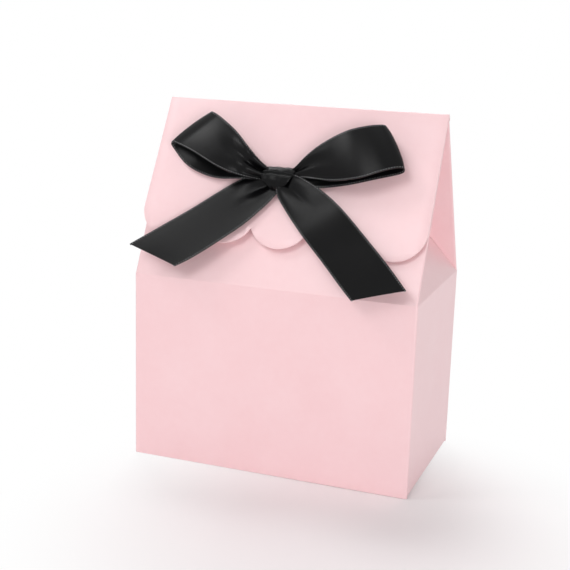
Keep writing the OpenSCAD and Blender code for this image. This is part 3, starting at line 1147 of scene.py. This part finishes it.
def makeRearStrand():
    # the ribbon behind the flap, with its ends brought through the two slots
    left = flap["knotX"] - flap["slotSpread"]
    right = flap["knotX"] + flap["slotSpread"]
    profile = [
        (left + rear["reach"], rear["lip"]), (left + 1.6, rear["lip"]), (left + 0.5, rear["lip"] - 0.15),
        (left, 0.2), (left + 0.45, -0.6),
        (left + 1.6, rear["behind"]), (flap["knotX"], rear["behind"] - 0.03),
        (right - 1.6, rear["behind"]), (right - 0.45, -0.6), (right, 0.2),
        (right - 0.5, rear["lip"] - 0.15), (right - 1.6, rear["lip"]), (right - rear["reach"], rear["lip"]),
    ]
    line = np.array(smoothLine(profile, rear["steps"]))
    way = np.gradient(line, axis=0)
    way /= np.linalg.norm(way, axis=1)[:, None]
    half, layer = rear["halfWidth"], rear["layer"]
    turn = half - layer / 2
    folds = np.array(smoothLine([
        (-half, -layer), (0, -layer), (turn, -layer), (half, -layer / 2), (turn, 0), (0, 0),
        (-turn, 0), (-half, layer / 2), (-turn, layer), (0, layer), (half, layer),
    ], rear["steps"]))
    rows = []
    for (x, lift), (wayX, wayLift) in zip(line, way):
        tuck = min(max(lift / rear["lip"], 0), 1)
        middle = flap["slotMiddle"] + rear["drop"] + tuck * rear["tuckDrop"]
        narrow = 1 - tuck * rear["tuckNarrow"]
        rows.append([
            onFlap(x - wayLift * depth, middle + across * narrow, lift + wayX * depth) * mm
            for across, depth in folds
        ])
    piece = makeCloth("rearStrand", np.array(rows))
    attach(piece, "flap")
    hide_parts("ribbon_rear_strand")
    return piece


makeRearStrand()


def makePicots():
    # the ribbon's woven edge: a row of thread loops along every edge of the loops and tails
    curve = bpy.data.curves.new("edgeLines", "CURVE")
    curve.dimensions = "3D"
    for line in edgeLines:
        spline = curve.splines.new("POLY")
        spline.points.add(len(line) - 1)
        spline.points.foreach_set("co", np.concatenate([line, np.ones((len(line), 1))], axis=1).ravel())
    holder = bpy.data.objects.new("ribbonEdgeLoops", curve)
    bpy.context.scene.collection.objects.link(holder)

    tree = bpy.data.node_groups.new("edgeLoops", "GeometryNodeTree")
    sockets = {}
    tree.interface.new_socket("Geometry", in_out="INPUT", socket_type="NodeSocketGeometry")
    for label, key in (("Spacing", "spacing"), ("Loop length", "length"), ("Loop radius", "radius")):
        socket = tree.interface.new_socket(label, in_out="INPUT", socket_type="NodeSocketFloat")
        socket.default_value = picot[key] * mm
        sockets[label] = (socket.identifier, picot[key] * mm)
    seed = tree.interface.new_socket("Seed", in_out="INPUT", socket_type="NodeSocketInt")
    seed.default_value = picot["seed"]
    sockets["Seed"] = (seed.identifier, picot["seed"])
    tree.interface.new_socket("Geometry", in_out="OUTPUT", socket_type="NodeSocketGeometry")
    nodes, links = tree.nodes, tree.links
    entry = nodes.new("NodeGroupInput")
    leave = nodes.new("NodeGroupOutput")
    points = nodes.new("GeometryNodeCurveToPoints")
    points.mode = "LENGTH"
    bead = nodes.new("GeometryNodeMeshUVSphere")
    bead.inputs["Segments"].default_value = 6
    bead.inputs["Rings"].default_value = 4
    bead.inputs["Radius"].default_value = 1.0
    size = nodes.new("ShaderNodeCombineXYZ")
    place = nodes.new("GeometryNodeInstanceOnPoints")
    jitter = nodes.new("FunctionNodeRandomValue")
    jitter.data_type = "FLOAT"
    jitter.inputs[2].default_value, jitter.inputs[3].default_value = picot["jitter"]
    scale = nodes.new("ShaderNodeVectorMath")
    scale.operation = "SCALE"
    real = nodes.new("GeometryNodeRealizeInstances")
    finish = nodes.new("GeometryNodeSetMaterial")
    finish.inputs["Material"].default_value = blackThread
    smooth = nodes.new("GeometryNodeSetShadeSmooth")
    links.new(entry.outputs["Geometry"], points.inputs["Curve"])
    links.new(entry.outputs["Spacing"], points.inputs["Length"])
    links.new(entry.outputs["Loop radius"], size.inputs["X"])
    links.new(entry.outputs["Loop radius"], size.inputs["Y"])
    links.new(entry.outputs["Loop length"], size.inputs["Z"])
    links.new(entry.outputs["Seed"], jitter.inputs["Seed"])
    links.new(size.outputs["Vector"], scale.inputs[0])
    links.new(jitter.outputs[1], scale.inputs["Scale"])
    links.new(points.outputs["Points"], place.inputs["Points"])
    links.new(bead.outputs["Mesh"], place.inputs["Instance"])
    links.new(points.outputs["Rotation"], place.inputs["Rotation"])
    links.new(scale.outputs["Vector"], place.inputs["Scale"])
    links.new(place.outputs["Instances"], real.inputs["Geometry"])
    links.new(real.outputs["Geometry"], smooth.inputs["Geometry"])
    links.new(smooth.outputs["Geometry"], finish.inputs["Geometry"])
    links.new(finish.outputs["Geometry"], leave.inputs["Geometry"])

    modifier = holder.modifiers.new("edgeLoops", "NODES")
    modifier.node_group = tree
    for identifier, value in sockets.values():
        modifier[identifier] = value
    bpy.context.view_layer.update()
    result = bpy.data.meshes.new_from_object(
        holder.evaluated_get(bpy.context.evaluated_depsgraph_get())
    )
    bpy.data.objects.remove(holder)
    piece = bpy.data.objects.new("ribbonEdgeLoops", result)
    bpy.context.scene.collection.objects.link(piece)
    print("edge loops:", len(result.polygons), "faces")
    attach(piece, "flap")
    return piece


edgeLoops = makePicots()

# The knot's size is its band as laid here. The ribbon it is cut from is 16 mm wide, and its
# pleats are too shallow to hold that.
print("bow finished")


# floor, light and camera

studio = {
    "floorColour": srgb(250, 244, 245),
    "shadeMiddle": (0.035, -0.065, 0),  # from here the floor fades into the white backdrop
    "whiteFrom": 0.02,
    "whiteTo": 0.11,
    "worldStrength": 0.4,
}


def whiteRays(nodes, links):
    # 1 for the rays that see the white backdrop: the camera's, and those of shine and of glass
    ray = addNode(nodes, "ShaderNodeLightPath")
    first = addNode(nodes, "ShaderNodeMath", operation="MAXIMUM")
    both = addNode(nodes, "ShaderNodeMath", operation="MAXIMUM")
    links.new(ray.outputs["Is Camera Ray"], first.inputs[0])
    links.new(ray.outputs["Is Glossy Ray"], first.inputs[1])
    links.new(first.outputs["Value"], both.inputs[0])
    links.new(ray.outputs["Is Transmission Ray"], both.inputs[1])
    return both.outputs["Value"]


def makeFloor():
    mesh = bpy.data.meshes.new("studioFloor")
    mesh.from_pydata([(-6, -6, 0), (6, -6, 0), (6, 6, 0), (-6, 6, 0)], [], [(0, 1, 2, 3)])
    floor = bpy.data.objects.new("studioFloor", mesh)
    bpy.context.scene.collection.objects.link(floor)
    material, nodes, links = newMaterial("paleFloor")
    place = addNode(nodes, "ShaderNodeTexCoord")
    shift = addNode(nodes, "ShaderNodeVectorMath", operation="SUBTRACT")
    shift.inputs[1].default_value = studio["shadeMiddle"]
    far = addNode(nodes, "ShaderNodeVectorMath", operation="LENGTH")
    fade = addNode(nodes, "ShaderNodeMapRange", interpolation_type="SMOOTHSTEP")
    fade.inputs["From Min"].default_value = studio["whiteFrom"]
    fade.inputs["From Max"].default_value = studio["whiteTo"]
    share = addNode(nodes, "ShaderNodeMath", operation="MULTIPLY")
    surface = addNode(nodes, "ShaderNodeBsdfDiffuse")
    surface.inputs["Color"].default_value = studio["floorColour"]
    white = addNode(nodes, "ShaderNodeEmission")
    mix = addNode(nodes, "ShaderNodeMixShader")
    out = addNode(nodes, "ShaderNodeOutputMaterial")
    links.new(place.outputs["Object"], shift.inputs[0])
    links.new(shift.outputs["Vector"], far.inputs[0])
    links.new(far.outputs["Value"], fade.inputs["Value"])
    links.new(fade.outputs["Result"], share.inputs[0])
    links.new(whiteRays(nodes, links), share.inputs[1])
    links.new(share.outputs["Value"], mix.inputs["Fac"])
    links.new(surface.outputs["BSDF"], mix.inputs[1])
    links.new(white.outputs["Emission"], mix.inputs[2])
    links.new(mix.outputs["Shader"], out.inputs["Surface"])
    mesh.materials.append(material)


def makeWorld():
    world = bpy.data.worlds.new("whiteStudio")
    world.use_nodes = True
    nodes, links = world.node_tree.nodes, world.node_tree.links
    nodes.clear()
    level = addNode(nodes, "ShaderNodeMapRange")
    level.inputs["To Min"].default_value = studio["worldStrength"]
    level.inputs["To Max"].default_value = 1.0
    glow = addNode(nodes, "ShaderNodeBackground", in_Color=(1, 1, 1, 1))
    out = addNode(nodes, "ShaderNodeOutputWorld")
    seen = whiteRays(nodes, links)
    links.new(seen, level.inputs["Value"])
    links.new(level.outputs["Result"], glow.inputs["Strength"])
    links.new(glow.outputs["Background"], out.inputs["Surface"])
    bpy.context.scene.world = world


def makeLamp(name, place, aim, size, power):
    lamp = bpy.data.lights.new(name, "AREA")
    lamp.shape = "RECTANGLE"
    lamp.size, lamp.size_y = size
    lamp.energy = power
    holder = bpy.data.objects.new(name, lamp)
    bpy.context.scene.collection.objects.link(holder)
    holder.location = place
    holder.rotation_euler = (Vector(aim) - Vector(place)).to_track_quat("-Z", "Y").to_euler()


lamps = {
    "keySoftbox": {"place": (-0.16, -0.94, 0.8), "aim": (0, 0, 0.08), "size": (0.4, 0.4), "power": 2.4},
    "frontSoftbox": {"place": (0.62, -0.98, 0.12), "aim": (0, 0, 0.06), "size": (0.5, 0.35), "power": 4.05},
    "topSoftbox": {"place": (-0.2, 0.35, 0.95), "aim": (0, 0, 0), "size": (0.3, 0.3), "power": 2.8},
    "leftSoftbox": {"place": (-0.5, -0.3, 0.75), "aim": (0, 0, 0.1), "size": (0.2, 0.2), "power": 1.1},
    "backSoftbox": {"place": (-0.2, 1.15, 0.45), "aim": (0, 0, 0.06), "size": (0.7, 0.5), "power": 1.8},
    "rightSoftbox": {"place": (0.95, 0.1, 0.12), "aim": (0, 0, 0.06), "size": (0.5, 0.4), "power": 0.65},
}

view = {
    "azimuth": 20.05,
    "elevation": 13.93,
    "roll": 1.742,
    "lens": 74.39,
    "place": (136.46, -389.18, 164.18),  # mm
}


def makeCamera():
    a, e, r = (math.radians(view[k]) for k in ("azimuth", "elevation", "roll"))
    back = Vector((math.sin(a) * math.cos(e), -math.cos(a) * math.cos(e), math.sin(e)))
    right = Vector((math.cos(a), math.sin(a), 0))
    up = back.cross(right)
    axes = Matrix((
        right * math.cos(r) + up * math.sin(r),
        up * math.cos(r) - right * math.sin(r),
        back,
    )).transposed()
    camera = bpy.data.cameras.new("studioCamera")
    camera.sensor_width = 36
    camera.lens = view["lens"]
    camera.clip_start = 0.01
    holder = bpy.data.objects.new("studioCamera", camera)
    bpy.context.scene.collection.objects.link(holder)
    holder.matrix_world = Matrix.Translation(Vector(view["place"]) * mm) @ axes.to_4x4()
    bpy.context.scene.camera = holder


makeFloor()
makeWorld()
for name, lamp in lamps.items():
    makeLamp(name, **lamp)
makeCamera()
bpy.context.scene.view_settings.view_transform = "Standard"
print("studio set")
